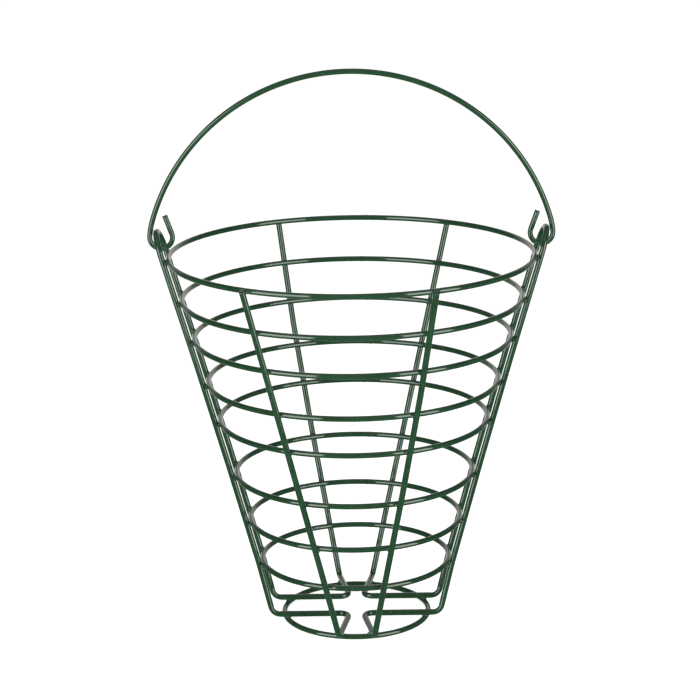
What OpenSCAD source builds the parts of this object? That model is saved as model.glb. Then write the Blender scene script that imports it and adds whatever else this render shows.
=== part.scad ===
// Tapered round wire basket with a swinging bail handle.
//
// All of it is coated round wire. Nine rings are welded to two identical frame
// wires, which are slightly thicker. Each frame wire runs down the front of the wall, in
// under the floor, out to one side, up the side, over into an eye above the
// rim, and back by the same way to the rear of the wall. The handle hooks
// through both eyes and swings.
//
// The origin is the middle of the base, on the plane that the foot ring rests
// on. +Z is up, the two eyes lie on the X axis, and -Y is the front.

/* [Wire] */
// Diameter of the coated wire of the rings and the handle
wire_d = 4.2; // [3.8:0.1:4.3]
// Diameter of the coated wire of the two frame wires
frame_wire_d = 4.6; // [4.2:0.1:4.6]
// Depth to which crossing wires sink into each other at a weld
weld_depth = 0.25; // [0.1:0.05:0.5]

/* [Wall] */
// Radius of the rim ring, to the middle of its wire
rim_r = 137; // [133:0.5:141]
// Height of the rim ring, to the middle of its wire
rim_z = 286; // [282:1:290]
// Radius lost for each millimetre down the wall
wall_taper = 0.272; // [0.26:0.001:0.28]
// Depth to which the middle of the wall draws in from a straight cone
wall_draw_in = 1; // [0.5:0.1:1.5]
// Heights of the upper wall rings, below the rim
upper_ring_z = [254, 224, 190, 160]; // [140:0.5:260]
// Heights of the lower wall rings
lower_ring_z = [117.5, 80.5, 47]; // [40:0.5:130]
// Radius of the foot ring, to the middle of its wire
foot_r = 56; // [50:0.5:60]

/* [Frame wires] */
// Height of the uprights' ends above the middle of the rim's wire
upright_rise = 0.8; // [0:0.1:2]
// Angle of one upright from the Y axis, at the rim
wide_upright = 33; // [30:0.1:36]
// Angle of the other upright of the same frame wire, at the rim
narrow_upright = 24.5; // [22:0.1:28]
// Angle by which the second upright bows sideways
narrow_bow = 1.5; // [0:0.1:2]
// Angle of both uprights from the Y axis, at the floor
foot_angle = 11.5; // [10:0.5:13]
// Radius on which the frame wires turn up from the floor
floor_r = 67; // [65:0.5:68]
// Straight lengths in the part of a leg that follows the wall
wall_steps = 3; // [2:1:5]
// Distance of the side legs and floor runs from the X axis
leg_y = 18; // [17:0.5:18.5]
// Distance of the inner floor corners from the Y axis
inner_x = 5; // [4:0.5:8]
// Height of the middle of the eye's round top
eye_z = 287.5; // [287:0.5:288.5]
// Bend radius at the foot of an upright
foot_bend = 5; // [4:0.5:7]
// Bend radius at the inner corners and at the foot of a side leg
floor_bend = 7; // [5:0.5:8]

/* [Handle] */
// Radius of the main arch
arch_r = 155; // [154.5:0.5:155.5]
// Height of the middle of the main arch
arch_z = 268; // [267.5:0.5:269]
// Angle that the main arch turns through on each side
arch_turn = 73; // [72.5:0.5:73.5]
// Radius of the shoulder, between the arch and the hook
shoulder_r = 60; // [59:0.5:61]
// Angle that the shoulder turns through
shoulder_turn = 11.5; // [11:0.5:12]
// Radius of the hook
hook_r = 8.5; // [8.4:0.1:8.6]
// Angle that the hook turns through
hook_turn = 205; // [204:0.5:206]
// Straight length at the free end of the hook
hook_tail = 14.5; // [10:0.5:14.5]

/* [Hidden] */
wall_ring_z = concat(upper_ring_z, lower_ring_z);
wall_ring_count = len(wall_ring_z);
low_z = wall_ring_z[wall_ring_count - 1];
function wall_ring_name(i) = str("wall_ring_", i + 1);

wire_r = wire_d / 2;
frame_wire_r = frame_wire_d / 2;
foot_ring_z = wire_r;
// Middles of two crossing wires lie this far apart at a weld
weld_pitch = wire_r + frame_wire_r - weld_depth;
floor_z = foot_ring_z + weld_pitch;
// The frame wires lie outside the rings, square to the sloping wall
frame_offset = weld_pitch * sqrt(1 + wall_taper * wall_taper);
upright_top_z = rim_z + upright_rise;
// Two lengths of a bent wire stop this far short of the point where they meet
joint_gap = 0.05;
// A short collar about that point joins them, thicker than the wire by this much all round
collar_rise = 0.05;
collar_length = 0.8;
// A straight length shorter than this is left out of a bent wire
shortest_straight = 0.5;
green = [0.11, 0.29, 0.19];
wire_fn = 24;
bend_fn = 96;
ring_fn = 120;

function unit(v) = v / norm(v);
function mix(a, b, t) = a + (b - a) * t;
function angle_between(a, b) = atan2(norm(cross(a, b)), a * b);

// 0 at both ends of a stretch and 1 at its middle
function bulge(t) = 4 * t * (1 - t);
// Radius of the wall at a height, to the middle of the rings' wire
function wall_r(z) = rim_r - wall_taper * (rim_z - z) - wall_draw_in * bulge((z - low_z) / (rim_z - low_z));
function frame_r(z) = wall_r(z) + frame_offset;
// A direction from the Z axis, at an angle from the Y axis on the +Y or -Y side
function compass(angle, side) = [sin(angle), side * cos(angle), 0];
function at_height(z) = [0, 0, z];

// Heights at which the frame wires bend slightly to follow the wall
wall_bend_z = [for (i = [0 : wall_steps]) mix(low_z, rim_z, i / wall_steps)];
// The point where an upright turns in to the floor
function upright_foot(side) = floor_r * compass(foot_angle, side) + at_height(floor_z);
// A point of an upright, on a straight line in plan that is then laid against the wall
function upright_point(rim_angle, bow, side, z) =
    let (
        t = (z - floor_z) / (upright_top_z - floor_z),
        plan = mix(floor_r * compass(foot_angle, 1), frame_r(upright_top_z) * compass(rim_angle, 1), t),
        angle = atan2(plan.x, plan.y) + bow * bulge(t)
    ) frame_r(z) * compass(angle, side) + at_height(z);
// Corners of one upright above its foot, from the lowest up
function upright(rim_angle, bow, side) = [
    for (i = [0 : wall_steps - 1]) upright_point(rim_angle, bow, side, wall_bend_z[i]),
    upright_point(rim_angle, bow, side, upright_top_z)
];
// A point of a side leg, which lies against the wall at a fixed Y
function leg_point(z, side) = [sqrt(pow(frame_r(z), 2) - leg_y * leg_y), side * leg_y, z];
// Corners of one side leg above its foot, from the lowest up
function leg(side) = [for (i = [0 : wall_steps - 1]) leg_point(wall_bend_z[i], side)];
function reversed(list) = [for (i = [len(list) - 1 : -1 : 0]) list[i]];

// Length of wire that a bend takes up on each side of its corner
function setback(before, corner, after, bend) =
    bend * tan(angle_between(corner - before, after - corner) / 2);
// Angle of the gap that an arc leaves at each of its ends
function gap_angle(radius) = joint_gap / radius * 180 / PI;

// Places its child by the directions of its X and Y axes and its origin
module placed(x_axis, y_axis, origin) {
    z_axis = cross(x_axis, y_axis);
    multmatrix([
        [x_axis.x, y_axis.x, z_axis.x, origin.x],
        [x_axis.y, y_axis.y, z_axis.y, origin.y],
        [x_axis.z, y_axis.z, z_axis.z, origin.z]
    ]) children();
}

// Places its child with its Z axis along a direction
module placed_along(along, origin) {
    across = unit(cross(abs(along.z) < 0.9 ? [0, 0, 1] : [1, 0, 0], along));
    placed(across, cross(along, across), origin) children();
}

// Straight wire of radius r between two points
module straight_wire(r, from, to) {
    placed_along(unit(to - from), from) cylinder(r = r, h = norm(to - from), $fn = wire_fn);
}

// Arc of wire that starts on one side of its centre and sets off along its heading
module arc_wire(r, centre, outward, heading, radius, turn) {
    placed(outward, heading, centre) rotate([0, 0, gap_angle(radius)])
        rotate_extrude(angle = turn - 2 * gap_angle(radius), $fn = bend_fn)
            translate([radius, 0]) circle(r = r, $fn = wire_fn);
}

// Collar about a joint of two lengths, along the wire there
module joint_collar(r, point, along) {
    placed_along(along, point)
        cylinder(r = r + collar_rise, h = collar_length, center = true, $fn = wire_fn);
}

// Wire bent at a corner
module bent_wire(r, before, corner, after, bend) {
    heading = unit(corner - before);
    inward = unit(unit(after - corner) - heading * cos(angle_between(heading, after - corner)));
    start = corner - heading * setback(before, corner, after, bend);
    arc_wire(r, start + inward * bend, -inward, heading, bend, angle_between(heading, after - corner));
}

// Wire through a list of corners, with one bend radius for each corner, 0 for a slight bend
module wire(r, corners, bends) {
    last = len(corners) - 1;
    taken = [for (i = [0 : last]) i == 0 || i == last ? 0
        : setback(corners[i - 1], corners[i], corners[i + 1], bends[i])];
    for (i = [0 : last - 1]) {
        along = unit(corners[i + 1] - corners[i]);
        start = corners[i] + along * taken[i];
        end = corners[i + 1] - along * taken[i + 1];
        if (bends[i] > 0) joint_collar(r, start, along);
        if (norm(end - start) > shortest_straight) {
            straight_wire(
                r,
                start + along * (i == 0 ? 0 : joint_gap),
                end - along * (i == last - 1 ? 0 : joint_gap)
            );
            if (i < last - 1) joint_collar(r, end, along);
        }
    }
    for (i = [1 : last - 1])
        if (bends[i] > 0) bent_wire(r, corners[i - 1], corners[i], corners[i + 1], bends[i]);
}

// Closed ring of wire about the Z axis
module ring(radius, z) {
    color(green) translate([0, 0, z]) rotate_extrude($fn = ring_fn)
        translate([radius, 0]) circle(r = wire_r, $fn = wire_fn);
}

module rim_ring() {
    ring(rim_r, rim_z);
}

module wall_ring(z) {
    ring(wall_r(z), z);
}

module foot_ring() {
    ring(foot_r, foot_ring_z);
}

// The whole frame wire of the +X side, with both uprights, the floor and the eye
module frame_wire() {
    eye_foot = leg_point(wall_bend_z[wall_steps - 1], 0);
    eye_rise = unit(leg_point(rim_z, 0) - eye_foot);
    eye_top = eye_foot + eye_rise * ((eye_z - eye_foot.z) / eye_rise.z + leg_y);
    inner = [inner_x, 0, floor_z];
    leg_foot = [sqrt(floor_r * floor_r - leg_y * leg_y), 0, floor_z];
    side = [0, leg_y, 0];
    front = reversed(upright(narrow_upright, narrow_bow, -1));
    back = upright(wide_upright, 0, 1);
    slight = [for (i = [0 : wall_steps - 1]) 0];
    color(green) wire(
        frame_wire_r,
        concat(
            front, [upright_foot(-1), inner - side, leg_foot - side],
            leg(-1), [eye_top - side, eye_top + side], reversed(leg(1)),
            [leg_foot + side, inner + side, upright_foot(1)], back
        ),
        concat(
            [0], slight, [foot_bend, floor_bend, floor_bend],
            slight, [leg_y, leg_y], slight,
            [floor_bend, floor_bend, foot_bend], slight, [0]
        )
    );
}

module right_frame_wire() {
    frame_wire();
}

module left_frame_wire() {
    rotate([0, 0, 180]) frame_wire();
}

// Directions in the handle's plane, at an angle clockwise from the crown
function outward(angle) = [sin(angle), 0, cos(angle)];
function heading(angle) = [cos(angle), 0, -sin(angle)];

module handle_arc(centre, radius, from, turn) {
    arc_wire(wire_r, centre, outward(from), heading(from), radius, turn);
}

// Everything of the handle beyond the main arch, on the +X side
module handle_end() {
    hook_from = arch_turn + shoulder_turn;
    tail_from = hook_from + hook_turn;
    arch = [0, 0, arch_z];
    shoulder = arch + (arch_r - shoulder_r) * outward(arch_turn);
    hook = shoulder + (shoulder_r - hook_r) * outward(hook_from);
    tail = hook + hook_r * outward(tail_from);
    joint_collar(wire_r, arch + arch_r * outward(arch_turn), heading(arch_turn));
    handle_arc(shoulder, shoulder_r, arch_turn, shoulder_turn);
    joint_collar(wire_r, hook + hook_r * outward(hook_from), heading(hook_from));
    handle_arc(hook, hook_r, hook_from, hook_turn);
    joint_collar(wire_r, tail, heading(tail_from));
    straight_wire(wire_r, tail + joint_gap * heading(tail_from), tail + hook_tail * heading(tail_from));
}

module bail_handle() {
    color(green) {
        handle_arc([0, 0, arch_z], arch_r, -arch_turn, 2 * arch_turn);
        handle_end();
        rotate([0, 0, 180]) handle_end();
    }
}

rim_ring();
for (i = [0 : wall_ring_count - 1])
    wall_ring(wall_ring_z[i]);
foot_ring();
left_frame_wire();
right_frame_wire();
bail_handle();
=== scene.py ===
import math

import bpy
import numpy as np
from mathutils import Matrix, Vector


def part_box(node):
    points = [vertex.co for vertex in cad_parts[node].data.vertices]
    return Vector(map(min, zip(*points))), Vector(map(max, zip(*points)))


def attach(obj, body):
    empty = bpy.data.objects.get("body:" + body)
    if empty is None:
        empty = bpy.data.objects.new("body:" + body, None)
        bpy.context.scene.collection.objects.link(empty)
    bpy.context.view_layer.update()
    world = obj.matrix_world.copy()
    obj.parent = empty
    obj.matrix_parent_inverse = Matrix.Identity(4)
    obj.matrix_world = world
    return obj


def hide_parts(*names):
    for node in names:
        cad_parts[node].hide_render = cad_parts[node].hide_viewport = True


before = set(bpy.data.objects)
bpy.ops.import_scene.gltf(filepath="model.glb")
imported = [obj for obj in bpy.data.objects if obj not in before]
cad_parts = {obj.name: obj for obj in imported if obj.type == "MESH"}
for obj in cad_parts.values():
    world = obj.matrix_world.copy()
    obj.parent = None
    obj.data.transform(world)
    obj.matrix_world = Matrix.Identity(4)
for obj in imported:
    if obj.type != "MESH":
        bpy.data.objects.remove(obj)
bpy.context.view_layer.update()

# Looks of the wire basket. Every coated wire is swept again as a smooth tube with the small faults of
# bent and welded wire, and each weld gets its fillet of coating. Lengths of wires and welds are in
# millimetres, in the CAD frame, and become metres when a mesh is made. The floor, the lights and the
# camera are in metres.

MM = 0.001
rng = np.random.default_rng(41)


# ---------------------------------------------------------------- sizes, from the CAD boxes

def box(node):
    low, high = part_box(node)
    return np.array(low) / MM, np.array(high) / MM


RINGS = ["rim_ring"] + [f"wall_ring_{i}" for i in range(1, 8)] + ["foot_ring"]
low, high = box("rim_ring")
WIRE_R = (high[2] - low[2]) / 2
ring_r, ring_z = {}, {}
for name in RINGS:
    low, high = box(name)
    ring_r[name] = (high[0] - low[0]) / 2 - WIRE_R
    ring_z[name] = (high[2] + low[2]) / 2

RIM_R, RIM_Z = ring_r["rim_ring"], ring_z["rim_ring"]
LOW_Z = ring_z["wall_ring_7"]

# The same values as in the CAD source, for the wires whose path no box gives
FRAME_WIRE_R = 2.3
WELD_DEPTH = 0.25
WALL_TAPER = 0.272
WALL_DRAW_IN = 1.0
UPRIGHT_RISE = 0.8
WIDE_UPRIGHT, NARROW_UPRIGHT, NARROW_BOW, FOOT_ANGLE = 33.0, 24.5, 1.5, 11.5
FLOOR_R, LEG_Y, INNER_X, EYE_Z = 67.0, 18.0, 5.0, 287.5
FOOT_BEND, FLOOR_BEND = 5.0, 7.0
ARCH_R, ARCH_Z, ARCH_TURN = 155.0, 268.0, 73.0
SHOULDER_R, SHOULDER_TURN = 60.0, 11.5
HOOK_R, HOOK_TURN, HOOK_TAIL = 8.5, 205.0, 14.5

WELD_PITCH = WIRE_R + FRAME_WIRE_R - WELD_DEPTH
FLOOR_Z = ring_z["foot_ring"] + WELD_PITCH
FRAME_OFFSET = WELD_PITCH * math.sqrt(1 + WALL_TAPER**2)
UPRIGHT_TOP_Z = RIM_Z + UPRIGHT_RISE


def bulge(t):
    return 4 * t * (1 - t)


def wall_r(z):
    return RIM_R - WALL_TAPER * (RIM_Z - z) - WALL_DRAW_IN * bulge((z - LOW_Z) / (RIM_Z - LOW_Z))


def frame_r(z):
    return wall_r(z) + FRAME_OFFSET


def compass(angle, side):
    a = math.radians(angle)
    return np.array([math.sin(a), side * math.cos(a), 0.0])


# ---------------------------------------------------------------- paths of the wires

STEP = 1.5           # spacing of the rings of vertices along a wire
FINE_STEP = 0.45     # and where the wire turns tightly
SIDES = 20           # vertices round a wire
SLIGHT_BEND = 150.0  # radius that softens the slight bends where the uprights and legs follow the wall


def arc_points(start, corner, after, bend):
    """Points of the round bend that replaces a corner."""
    u = (corner - start) / np.linalg.norm(corner - start)
    v = (after - corner) / np.linalg.norm(after - corner)
    turn = math.acos(np.clip(u @ v, -1, 1))
    back = bend * math.tan(turn / 2)
    inward = v - u * (u @ v)
    inward /= np.linalg.norm(inward)
    centre = corner - u * back + inward * bend
    n = max(4, int(bend * turn / FINE_STEP))
    return [centre - inward * bend * math.cos(a) + u * bend * math.sin(a) for a in np.linspace(0, turn, n)]


def filleted(corners, bends):
    """The line through corners with round bends, one radius for each corner and 0 for a slight bend."""
    out = [corners[0]]
    for i in range(1, len(corners) - 1):
        bend = bends[i] or SLIGHT_BEND
        out += arc_points(corners[i - 1], corners[i], corners[i + 1], bend)
    out.append(corners[-1])
    return np.array(out)


def resampled(points):
    """The same line with points at most STEP apart, and no two in one place."""
    seg = np.linalg.norm(np.diff(points, axis=0), axis=1)
    keep = np.concatenate([[True], seg > 1e-6])
    points = points[keep]
    seg = np.linalg.norm(np.diff(points, axis=0), axis=1)
    s = np.concatenate([[0], np.cumsum(seg)])
    stops = [0.0]
    for a, b in zip(s[:-1], s[1:]):
        n = max(1, int(math.ceil((b - a) / STEP)))
        stops += [a + (b - a) * k / n for k in range(1, n + 1)]
    stops = np.array(stops)
    return np.stack([np.interp(stops, s, points[:, k]) for k in range(3)], 1)


def upright(rim_angle, bow, side):
    """One upright from its foot's end to its top, laid against the wall."""
    out = []
    low_dir, high_dir = FLOOR_R * compass(FOOT_ANGLE, 1), frame_r(UPRIGHT_TOP_Z) * compass(rim_angle, 1)
    for z in list(np.linspace(LOW_Z, RIM_Z, 4)[:-1]) + [UPRIGHT_TOP_Z]:
        t = (z - FLOOR_Z) / (UPRIGHT_TOP_Z - FLOOR_Z)
        plan = low_dir + (high_dir - low_dir) * t
        angle = math.degrees(math.atan2(plan[0], plan[1])) + bow * bulge(t)
        p = frame_r(z) * compass(angle, side)
        p[2] = z
        out.append(p)
    return out


def leg_point(z, side):
    return np.array([math.sqrt(frame_r(z) ** 2 - LEG_Y**2), side * LEG_Y, z])


def frame_path():
    """The frame wire of the +X side, from the top of its front upright to the top of its back one."""
    bends_z = np.linspace(LOW_Z, RIM_Z, 4)
    eye_foot = np.array([math.sqrt(frame_r(bends_z[2]) ** 2 - LEG_Y**2), 0, bends_z[2]])
    rim_point = np.array([math.sqrt(frame_r(RIM_Z) ** 2 - LEG_Y**2), 0, RIM_Z])
    rise = (rim_point - eye_foot) / np.linalg.norm(rim_point - eye_foot)
    eye_top = eye_foot + rise * ((EYE_Z - eye_foot[2]) / rise[2] + LEG_Y)
    side = np.array([0, LEG_Y, 0])
    inner = np.array([INNER_X, 0, FLOOR_Z])
    leg_foot = np.array([math.sqrt(FLOOR_R**2 - LEG_Y**2), 0, FLOOR_Z])
    up = np.array([0, 0, FLOOR_Z])
    foot = [FLOOR_R * compass(FOOT_ANGLE, s) + up for s in (-1, 1)]
    front = upright(NARROW_UPRIGHT, NARROW_BOW, -1)[::-1]
    back = upright(WIDE_UPRIGHT, 0, 1)
    legs = [[leg_point(z, s) for z in bends_z[:-1]] for s in (-1, 1)]
    corners = (front + [foot[0], inner - side, leg_foot - side] + legs[0] + [eye_top - side, eye_top + side]
               + legs[1][::-1] + [leg_foot + side, inner + side, foot[1]] + back)
    bends = ([0] * 4 + [FOOT_BEND, FLOOR_BEND, FLOOR_BEND] + [0] * 3 + [LEG_Y, LEG_Y] + [0] * 3
             + [FLOOR_BEND, FLOOR_BEND, FOOT_BEND] + [0] * 4)
    return resampled(filleted(corners, bends))


def outward(angle):
    """A direction in the handle's plane, at an angle clockwise from the crown."""
    a = math.radians(angle)
    return np.array([math.sin(a), 0, math.cos(a)])


def heading(angle):
    """The way along the wire there."""
    a = math.radians(angle)
    return np.array([math.cos(a), 0, -math.sin(a)])


def bail_path():
    arch = np.array([0, 0, ARCH_Z])
    hook_from = ARCH_TURN + SHOULDER_TURN
    shoulder = arch + (ARCH_R - SHOULDER_R) * outward(ARCH_TURN)
    hook = shoulder + (SHOULDER_R - HOOK_R) * outward(hook_from)
    half = [arch + ARCH_R * outward(a) for a in np.linspace(0, ARCH_TURN, 140)]
    half += [shoulder + SHOULDER_R * outward(a) for a in np.linspace(ARCH_TURN, hook_from, 12)[1:]]
    half += [hook + HOOK_R * outward(a) for a in np.linspace(hook_from, hook_from + HOOK_TURN, 70)[1:]]
    half.append(half[-1] + HOOK_TAIL * heading(hook_from + HOOK_TURN))
    half = np.array(half)
    other = half[1:][::-1] * [-1, 1, 1]
    return resampled(np.vstack([other, half]))


def ring_path(name):
    n = int(2 * math.pi * ring_r[name] / STEP)
    a = np.linspace(0, 2 * math.pi, n, endpoint=False)
    return np.stack([ring_r[name] * np.sin(a), ring_r[name] * np.cos(a), np.full(n, ring_z[name])], 1)


# ---------------------------------------------------------------- tubes

def smooth_noise(s, total, period, closed):
    """A gentle wave along a wire, between -1 and 1, that joins up on a closed ring."""
    out = np.zeros_like(s)
    weight = 0
    for k in range(5):
        cycles = max(1, round(total / period * (0.5 + 0.45 * k)))
        if not closed:
            cycles += rng.uniform(-0.4, 0.4)
        w = 1 / (1 + 0.5 * k)
        out += w * np.sin(2 * math.pi * cycles * s / total + rng.uniform(0, 2 * math.pi))
        weight += w
    return out / weight


def frames_along(points, closed):
    """Unit tangents and a pair of normals that don't twist, and the curvature as a vector."""
    if closed:
        ahead, behind = np.roll(points, -1, 0), np.roll(points, 1, 0)
    else:
        ahead, behind = np.vstack([points[1:], points[-1:]]), np.vstack([points[:1], points[:-1]])
    tangent = ahead - behind
    tangent /= np.linalg.norm(tangent, axis=1)[:, None]
    first = np.cross(tangent[0], [0, 0, 1] if abs(tangent[0][2]) < 0.9 else [1, 0, 0])
    n1 = [first / np.linalg.norm(first)]
    for t in tangent[1:]:
        v = n1[-1] - t * (n1[-1] @ t)
        n1.append(v / np.linalg.norm(v))
    n1 = np.array(n1)
    n2 = np.cross(tangent, n1)
    step = np.linalg.norm(ahead - behind, axis=1) / 2
    if closed:
        bend = (np.roll(tangent, -1, 0) - np.roll(tangent, 1, 0)) / (2 * step[:, None])
    else:
        bend = np.gradient(tangent, axis=0) / step[:, None]
    return tangent, n1, n2, bend


COAT_WAVE = 0.035    # how far the coating's thickness wanders
COAT_PERIOD = 23.0   # and the length over which it does
PATH_WAVE = 0.12     # how far a wire wanders from its true line
PATH_PERIOD = 160.0
END_STILL = 20.0     # a wire comes back to its true line this far before its ends
SQUASH = 0.10        # how much a tight bend flattens the wire, at a bend as tight as the wire is thick
MOST_SQUASH = 0.07


def tube(name, points, thick, node, body, closed, lumps=(), rub=()):
    """Sweeps a coated wire of radius thick along points. lumps are (distance along, rise, half width)
    of swellings, and rub are (point, reach) of places that other metal rubs."""
    seg = np.linalg.norm(np.diff(points, axis=0), axis=1)
    s = np.concatenate([[0], np.cumsum(seg)])
    total = s[-1] + (np.linalg.norm(points[0] - points[-1]) if closed else 0)
    tangent, n1, n2, bend = frames_along(points, closed)
    ends = np.ones_like(s) if closed else np.clip(np.minimum(s, total - s) / END_STILL, 0, 1)
    inward = -points.copy()
    inward[:, 2] = 0
    inward /= np.maximum(np.linalg.norm(inward, axis=1), 1)[:, None]
    wave = smooth_noise(s, total, PATH_PERIOD, closed) * ends
    line = points + inward * (PATH_WAVE * 0.5 * (wave + 1))[:, None]
    radius = thick - COAT_WAVE * (1 + smooth_noise(s, total, COAT_PERIOD, closed)) / 2
    for at, rise, half in lumps:
        d = np.abs(s - at)
        d = np.minimum(d, total - d) if closed else d
        radius = radius + rise * np.exp(-((d / half) ** 2))
    curve = np.linalg.norm(bend, axis=1)
    # the bend's own plane keeps the flattened side
    toward = np.where(curve[:, None] > 1e-6, bend / np.maximum(curve, 1e-6)[:, None], n1)
    flat = np.clip(SQUASH * curve * thick * 2, 0, MOST_SQUASH)
    k = np.arange(SIDES) / SIDES * 2 * math.pi
    offset = n1[:, None] * np.cos(k)[None, :, None] + n2[:, None] * np.sin(k)[None, :, None]
    along = np.einsum("pkc,pc->pk", offset, toward)
    offset = offset - toward[:, None] * (along * flat[:, None])[:, :, None]
    verts = line[:, None] + offset * radius[:, None, None]
    count = len(points)
    verts = verts.reshape(-1, 3)
    j = np.arange(SIDES)
    rows = np.arange(count if closed else count - 1)
    a = (rows[:, None] * SIDES + j).ravel()
    b = (rows[:, None] * SIDES + (j + 1) % SIDES).ravel()
    nxt = ((rows + 1) % count)[:, None] * SIDES
    c, d = (nxt + (j + 1) % SIDES).ravel(), (nxt + j).ravel()
    faces = np.stack([a, b, c, d], 1).tolist()
    verts = verts.tolist()
    if not closed:
        for end, sign in ((0, -1), (count - 1, 1)):
            faces += cut_end(verts, line[end], tangent[end] * sign, end * SIDES, sign)
    return finish_mesh(name, verts, faces, node, body, rub)


# The rounded edge of a cut end: (distance outward, share of the wire's radius), and its shallow dip
END_ROUND = ((0.18, 0.985), (0.33, 0.93), (0.42, 0.83), (0.46, 0.66), (0.45, 0.34))
END_REACH = 0.46
END_DIP = 0.03


def cut_end(verts, centre, way, base, sign):
    """Closes a cut end with the coating's rounded edge and a shallow dip in the middle."""
    edge = [np.array(v) for v in verts[base:base + SIDES]]
    faces, last = [], [base + i for i in range(SIDES)]
    for out, share in END_ROUND:
        ring = []
        for v in edge:
            ring.append(len(verts))
            verts.append(list(centre + (v - centre) * share + way * (out - END_REACH)))
        for i in range(SIDES):
            quad = [last[i], last[(i + 1) % SIDES], ring[(i + 1) % SIDES], ring[i]]
            faces.append(quad if sign > 0 else quad[::-1])
        last = ring
    middle = len(verts)
    verts.append(list(centre + way * (END_ROUND[-1][0] - END_DIP - END_REACH)))
    for i in range(SIDES):
        tri = [last[i], last[(i + 1) % SIDES], middle]
        faces.append(tri if sign > 0 else tri[::-1])
    return faces


def finish_mesh(name, verts, faces, node, body, rub=()):
    mesh = bpy.data.meshes.new(name)
    points = np.array(verts)
    mesh.from_pydata((points * MM).tolist(), [], faces)
    mesh.validate()
    wear = mesh.attributes.new("rubbed", "FLOAT", "POINT")
    amount = np.zeros(len(points))
    for place, reach in rub:
        d = np.linalg.norm(points - place, axis=1)
        amount = np.maximum(amount, np.clip(1 - d / reach, 0, 1) ** 0.7)
    wear.data.foreach_set("value", amount.astype(np.float32))
    mesh.polygons.foreach_set("use_smooth", [True] * len(mesh.polygons))
    mesh.update()
    obj = bpy.data.objects.new(name, mesh)
    bpy.context.scene.collection.objects.link(obj)
    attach(obj, body)
    if node:
        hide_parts(node)
    return obj


# ---------------------------------------------------------------- welds

CELL = 0.42         # grid spacing of a weld's surface
REACH = 5.4         # a weld's surface is worked out this far from its middle
FILLET = 1.5        # how far the coating bridges the corner between two wires
SUNK = 0.05         # how far the hidden part of a weld lies inside the wires
SINK_FROM = 3.0     # beyond this distance from its middle a weld's skin dips away into the wires
SINK_SLOPE = 0.03
NUB_CHANCE = 0.75   # share of the sides of a weld that have a nub of metal
NUB_SIZE = (0.75, 1.25)
NUB_ASIDE = (1.7, 2.5)
NUB_LIFT = 0.9
NUB_FILLET = 0.7
TOP_NUB_SIZE, TOP_NUB_LIFT = 1.3, 1.0   # the nub on top of a front upright, at the rim


def smooth_min(a, b, k):
    h = np.clip(0.5 + 0.5 * (b - a) / k, 0, 1)
    return b + (a - b) * h - k * h * (1 - h)


def to_path(p, path):
    """Distance from points p to a stretch of path."""
    best = np.full(len(p), 1e9)
    for a, b in zip(path[:-1], path[1:]):
        ab = b - a
        t = np.clip((p - a) @ ab / (ab @ ab), 0, 1)
        best = np.minimum(best, np.linalg.norm(p - a - t[:, None] * ab, axis=1))
    return best


def surface_nets(field, corner, cell):
    """A closed mesh of the zero surface of a field on a grid. Inside is below zero."""
    inside = field < 0
    n = np.array(field.shape)
    corners = [(i, j, k) for i in (0, 1) for j in (0, 1) for k in (0, 1)]
    cut = [inside[i:n[0] - 1 + i, j:n[1] - 1 + j, k:n[2] - 1 + k] for i, j, k in corners]
    some = np.logical_or.reduce(cut) & ~np.logical_and.reduce(cut)
    index = np.full(some.shape, -1)
    cells = np.argwhere(some)
    index[tuple(cells.T)] = np.arange(len(cells))
    total, count = np.zeros((len(cells), 3)), np.zeros(len(cells))
    for axis in range(3):
        for base in corners:
            if base[axis]:
                continue
            end = list(base)
            end[axis] = 1
            f0 = field[tuple((cells + base).T)]
            f1 = field[tuple((cells + end).T)]
            crosses = (f0 < 0) != (f1 < 0)
            t = np.where(crosses, f0 / np.where(crosses, f0 - f1, 1), 0)
            p = cells + np.array(base, float)
            p[:, axis] += t
            total[crosses] += p[crosses]
            count[crosses] += 1
    verts = corner + total / count[:, None] * cell
    faces = []
    for axis in range(3):
        u, v = (axis + 1) % 3, (axis + 2) % 3
        lo = [slice(1, m - 1) for m in n]
        hi = list(lo)
        lo[axis], hi[axis] = slice(0, n[axis] - 1), slice(1, n[axis])
        a, b = inside[tuple(lo)], inside[tuple(hi)]
        for flip, where in ((False, a & ~b), (True, ~a & b)):
            at = np.argwhere(where)
            at[:, u] += 1
            at[:, v] += 1
            quad = []
            for du, dv in ((1, 1), (0, 1), (0, 0), (1, 0)):
                q = at.copy()
                q[:, u] -= du
                q[:, v] -= dv
                quad.append(index[tuple(q.T)])
            quad = np.stack(quad, 1)
            faces.append(quad[:, ::-1] if flip else quad)
    return verts, np.vstack(faces)


def past_ends(p, path, centre):
    """How far points p lie beyond a cut end of the path, where one is near the centre."""
    out = np.full(len(p), -1e9)
    for end, before in ((path[0], path[1]), (path[-1], path[-2])):
        if np.linalg.norm(end - centre) < REACH + 4:
            way = (end - before) / np.linalg.norm(end - before)
            out = np.maximum(out, (p - end) @ way)
    return out


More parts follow.
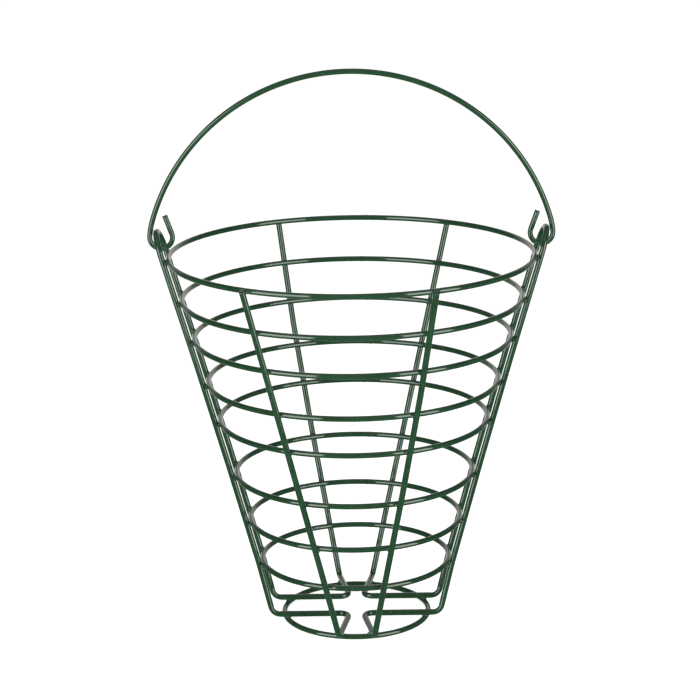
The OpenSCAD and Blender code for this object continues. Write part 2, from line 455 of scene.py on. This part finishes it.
def weld(centre, ring, path, nubs):
    """The mesh of one weld: the fillet of coating between a ring and a wire, with its nubs of metal."""
    m = int(REACH / CELL) + 1
    axis = np.arange(-m, m + 1) * CELL
    grid = np.stack(np.meshgrid(axis, axis, axis, indexing="ij"), -1)
    p = (grid + centre).reshape(-1, 3)
    rho = np.hypot(p[:, 0], p[:, 1])
    d_ring = np.hypot(rho - ring_r[ring], p[:, 2] - ring_z[ring]) - WIRE_R
    near = np.linalg.norm(path - centre, axis=1) < REACH + 4
    d_wire = np.maximum(to_path(p, path[near]) - FRAME_WIRE_R, past_ends(p, path, centre))
    f = smooth_min(d_ring, d_wire, FILLET)
    for place, size in nubs:
        f = smooth_min(f, np.linalg.norm(p - place, axis=1) - size, NUB_FILLET)
    away = np.linalg.norm(p - centre, axis=1)
    f = np.maximum(f + SUNK + SINK_SLOPE * np.clip(away - SINK_FROM, 0, None), away - REACH + CELL)
    return surface_nets(f.reshape(grid.shape[:3]), centre - m * CELL, CELL)


def crossings(path, ring):
    """Middles of the places where a path lies against a ring."""
    rho = np.hypot(path[:, 0], path[:, 1])
    d = np.hypot(rho - ring_r[ring], path[:, 2] - ring_z[ring])
    found = []
    for i in range(len(path)):
        lo, hi = max(0, i - 8), min(len(path), i + 9)
        if d[i] < WIRE_R + FRAME_WIRE_R + 0.6 and i == lo + int(np.argmin(d[lo:hi])):
            found.append(i)
    return found


def ring_welds(ring, paths):
    """All welds of one ring, as one piece."""
    verts, faces, base = [], [], 0
    for path in paths:
        for i in crossings(path, ring):
            at = path[i]
            rho = math.hypot(at[0], at[1])
            on_ring = np.array([at[0] / rho * ring_r[ring], at[1] / rho * ring_r[ring], ring_z[ring]])
            centre = (at + on_ring) / 2
            round_way = np.array([-at[1], at[0], 0]) / rho
            nubs = []
            for side in (-1, 1):
                if rng.random() < NUB_CHANCE:
                    size = rng.uniform(*NUB_SIZE)
                    lift = np.array([0, 0, rng.uniform(-NUB_LIFT, NUB_LIFT)])
                    nubs.append((centre + round_way * side * rng.uniform(*NUB_ASIDE) + lift, size))
            if ring == "rim_ring" and at[1] < 0 and i in (0, len(path) - 1):
                nubs.append((centre + np.array([0, 0, TOP_NUB_LIFT]), TOP_NUB_SIZE))
            v, f = weld(centre, ring, path, nubs)
            verts.append(v)
            faces.append(f + base)
            base += len(v)
    return finish_mesh(f"welds_{ring}", np.vstack(verts).tolist(), np.vstack(faces).tolist(), None, "basket")


# ---------------------------------------------------------------- materials

def coated(name, weld_metal=False):
    """Glossy dark green coating over wire: slightly uneven in colour and gloss, with the fine peel of a
    baked finish, a few specks of dust in it, and duller paler places where metal rubs."""
    mat = bpy.data.materials.new(name)
    mat.use_nodes = True
    nodes, links = mat.node_tree.nodes, mat.node_tree.links
    bsdf = nodes["Principled BSDF"]
    place = nodes.new("ShaderNodeTexCoord").outputs["Object"]

    def noise(scale, detail, rough=0.5):
        n = nodes.new("ShaderNodeTexNoise")
        n.inputs["Scale"].default_value = scale
        n.inputs["Detail"].default_value = detail
        n.inputs["Roughness"].default_value = rough
        links.new(place, n.inputs["Vector"])
        return n.outputs["Fac"]

    def spread(value, lo, hi, out_lo, out_hi):
        n = nodes.new("ShaderNodeMapRange")
        for key, v in (("From Min", lo), ("From Max", hi), ("To Min", out_lo), ("To Max", out_hi)):
            n.inputs[key].default_value = v
        links.new(value, n.inputs["Value"])
        return n.outputs["Result"]

    def maths(kind, a, b):
        n = nodes.new("ShaderNodeMath")
        n.operation = kind
        for socket, v in zip(n.inputs, (a, b)):
            if isinstance(v, (int, float)):
                socket.default_value = v
            else:
                links.new(v, socket)
        return n.outputs["Value"]

    def mixed(fac, a, b):
        n = nodes.new("ShaderNodeMix")
        n.data_type = "RGBA"
        links.new(fac, n.inputs["Factor"])
        for key, v in ((6, a), (7, b)):
            if isinstance(v, tuple):
                n.inputs[key].default_value = (*v, 1)
            else:
                links.new(v, n.inputs[key])
        return n.outputs[2]

    deep, fresh = (0.0108, 0.0375, 0.0168), (0.0160, 0.0510, 0.0240)
    patch = spread(noise(70, 3, 0.6), 0.32, 0.68, 0, 1)
    colour = mixed(patch, deep, fresh)
    grain = spread(noise(900, 2), 0.35, 0.7, 0, 0.35)
    colour = mixed(grain, colour, (0.019, 0.050, 0.027))
    specks = nodes.new("ShaderNodeTexVoronoi")
    specks.inputs["Scale"].default_value = 260
    links.new(place, specks.inputs["Vector"])
    dust = spread(specks.outputs["Distance"], 0.05, 0.085, 1, 0)
    dust = maths("MULTIPLY", dust, spread(noise(48, 1), 0.5, 0.6, 0, 1))
    colour = mixed(dust, colour, (0.19, 0.26, 0.20))
    rub = nodes.new("ShaderNodeAttribute")
    rub.attribute_name = "rubbed"
    worn = maths("MULTIPLY", rub.outputs["Fac"], spread(noise(420, 4, 0.7), 0.38, 0.62, 0.15, 1))
    colour = mixed(worn, colour, (0.050, 0.105, 0.070))
    rough_low, rough_high = (0.12, 0.24) if weld_metal else (0.045, 0.085)
    rough = spread(noise(160, 4, 0.6), 0.3, 0.7, rough_low, rough_high)
    rough = maths("ADD", rough, maths("MULTIPLY", worn, 0.22))
    rough = maths("ADD", rough, maths("MULTIPLY", dust, 0.3))
    links.new(colour, bsdf.inputs["Base Color"])
    links.new(rough, bsdf.inputs["Roughness"])
    bsdf.inputs["IOR"].default_value = 1.5
    bsdf.inputs["Coat Weight"].default_value = 0.5
    bsdf.inputs["Coat Roughness"].default_value = 0.03

    def bump(height, distance, strength, under=None):
        n = nodes.new("ShaderNodeBump")
        n.inputs["Distance"].default_value = distance
        n.inputs["Strength"].default_value = strength
        links.new(height, n.inputs["Height"])
        if under is not None:
            links.new(under, n.inputs["Normal"])
        return n.outputs["Normal"]

    normal = bump(noise(230, 2), 0.00020 if weld_metal else 0.00007, 0.8)
    normal = bump(noise(1500, 2), 0.000008, 0.7, normal)
    normal = bump(dust, 0.00006, 0.9, normal)
    links.new(normal, bsdf.inputs["Normal"])
    return mat


# ---------------------------------------------------------------- building

right = frame_path()
left = right * [-1, -1, 1]
HINGE_Z = ARCH_Z + (ARCH_R - SHOULDER_R) * math.cos(math.radians(ARCH_TURN)) \
    + (SHOULDER_R - HOOK_R) * math.cos(math.radians(ARCH_TURN + SHOULDER_TURN)) - HOOK_R
# Where hook and eye rub: a point of the handle's hooks and of the eyes, and how far the wear reaches
HOOK_RUB_X, HOOK_RUB_RISE, HOOK_RUB_REACH = 142.1, 1.8, 7.0
EYE_RUB_X, EYE_RUB_Z, EYE_RUB_REACH = 145.5, 303.0, 7.5
hook_places = [(np.array([s * HOOK_RUB_X, 0, HINGE_Z + HOOK_RUB_RISE]), HOOK_RUB_REACH) for s in (-1, 1)]
eye_places = [(np.array([s * EYE_RUB_X, 0, EYE_RUB_Z]), EYE_RUB_REACH) for s in (-1, 1)]

# Where each ring is closed by a butt weld at its back, and the weld's swelling and the dent beside it:
# (distance along from the weld, rise, half width)
BUTT_X = {"rim_ring": 12, "wall_ring_1": 8, "wall_ring_2": 12, "wall_ring_3": 15, "wall_ring_4": 9,
          "wall_ring_5": 12, "wall_ring_6": 10, "wall_ring_7": 13}
BUTT_SHAPE = ((0, 0.16, 0.9), (1.6, -0.05, 0.6))
made = []
for name in RINGS:
    lumps = []
    if name in BUTT_X:
        at = math.asin(BUTT_X[name] / ring_r[name]) * ring_r[name]
        lumps = [(at + along, rise, half) for along, rise, half in BUTT_SHAPE]
    made.append(tube(f"coated_{name}", ring_path(name), WIRE_R, name, "basket", True, lumps))
for node, path in (("left_frame_wire", left), ("right_frame_wire", right)):
    made.append(tube(f"coated_{node}", path, FRAME_WIRE_R, node, "basket", False, rub=eye_places))
made.append(tube("coated_bail_handle", bail_path(), WIRE_R, "bail_handle", "handle", False, rub=hook_places))
welds = [ring_welds(name, [left, right]) for name in RINGS]

green, green_weld = coated("coated_wire"), coated("coated_weld", weld_metal=True)
for obj in made:
    obj.data.materials.append(green)
for obj in welds:
    obj.data.materials.append(green_weld)


# ---------------------------------------------------------------- floor, lights and camera

def floor():
    mesh = bpy.data.meshes.new("floor")
    half = 9.0
    corners = [(-half, -half, 0), (half, -half, 0), (half, half, 0), (-half, half, 0)]
    mesh.from_pydata(corners, [], [(0, 1, 2, 3)])
    obj = bpy.data.objects.new("floor", mesh)
    bpy.context.scene.collection.objects.link(obj)
    mat = bpy.data.materials.new("pale_floor")
    mat.use_nodes = True
    bsdf = mat.node_tree.nodes["Principled BSDF"]
    bsdf.inputs["Base Color"].default_value = (0.93, 0.93, 0.925, 1)
    bsdf.inputs["Emission Color"].default_value = (1, 1, 1, 1)
    bsdf.inputs["Emission Strength"].default_value = 0.82
    bsdf.inputs["Roughness"].default_value = 0.85
    bsdf.inputs["Specular IOR Level"].default_value = 0.1
    mesh.materials.append(mat)
    obj.visible_glossy = False
    obj.visible_shadow = False


def softbox(name, place, aim, width, height, power, colour):
    light = bpy.data.lights.new(name, "AREA")
    light.shape = "RECTANGLE"
    light.size, light.size_y = width, height
    light.energy = power
    light.color = colour
    obj = bpy.data.objects.new(name, light)
    obj.location = place
    obj.rotation_mode = "QUATERNION"
    obj.rotation_quaternion = (Vector(aim) - Vector(place)).to_track_quat("-Z", "Y")
    bpy.context.scene.collection.objects.link(obj)


def bearing(azimuth, away, height):
    """A place round the object: azimuth 0 is in front of it and 90 to its right."""
    a = math.radians(azimuth)
    return (math.sin(a) * away, -math.cos(a) * away, height)


floor()
# A tall soft box on each side of the camera makes the long pale streaks along the wires
BOX_AWAY, BOX_MIDDLE, BOX_HEIGHT = 2.2, 0.5, 2.3
BOX_TINT = (0.96, 1.0, 0.95)
AIM = (0, 0, BOX_MIDDLE)
softbox("left_box", bearing(-43, BOX_AWAY, BOX_MIDDLE), AIM, 1.45, BOX_HEIGHT, 50, BOX_TINT)
softbox("right_box", bearing(49, BOX_AWAY, BOX_MIDDLE), AIM, 1.35, BOX_HEIGHT, 46, BOX_TINT)

overhead = bpy.data.lights.new("overhead", "SUN")
overhead.energy, overhead.angle = 0.38, math.radians(80)
lamp = bpy.data.objects.new("overhead", overhead)
lamp.location = (0, 0, 3)
bpy.context.scene.collection.objects.link(lamp)

# The room: a bright backdrop straight behind the basket, and dim all round
world = bpy.data.worlds.new("studio")
bpy.context.scene.world = world
world.use_nodes = True
tree = world.node_tree
way = tree.nodes.new("ShaderNodeTexCoord").outputs["Generated"]
split = tree.nodes.new("ShaderNodeSeparateXYZ")
tree.links.new(way, split.inputs["Vector"])
room = tree.nodes.new("ShaderNodeMapRange")
room.interpolation_type = "SMOOTHSTEP"
for key, value in (("From Min", 0.55), ("From Max", 1.0), ("To Min", 0.03), ("To Max", 0.72)):
    room.inputs[key].default_value = value
tree.links.new(split.outputs["Y"], room.inputs["Value"])
seen = tree.nodes.new("ShaderNodeLightPath").outputs["Is Camera Ray"]
level = tree.nodes.new("ShaderNodeMix")
level.inputs["B"].default_value = 1.0
tree.links.new(seen, level.inputs["Factor"])
tree.links.new(room.outputs["Result"], level.inputs["A"])
tree.links.new(level.outputs["Result"], tree.nodes["Background"].inputs["Strength"])
tree.nodes["Background"].inputs["Color"].default_value = (1, 0.99, 0.95, 1)

# The camera stands in front, higher than the handle, and looks slightly down
CAMERA_BACK, CAMERA_UP = 1.6374, 0.6468
PITCH, ROLL = 14.894, -0.786
LENS, SENSOR = 115.12, 36.0
SHIFT = (-0.0042, 0.0007)
data = bpy.data.cameras.new("camera")
data.lens, data.sensor_width = LENS, SENSOR
data.shift_x, data.shift_y = SHIFT
data.clip_start, data.clip_end = 0.05, 60
camera = bpy.data.objects.new("camera", data)
camera.location = (0, -CAMERA_BACK, CAMERA_UP)
camera.rotation_mode = "QUATERNION"
camera.rotation_quaternion = (Matrix.Rotation(math.radians(90 - PITCH), 3, "X")
                              @ Matrix.Rotation(math.radians(ROLL), 3, "Z")).to_quaternion()
bpy.context.scene.collection.objects.link(camera)
bpy.context.scene.camera = camera
bpy.context.scene.view_settings.view_transform = "Standard"

bpy.context.view_layer.update()
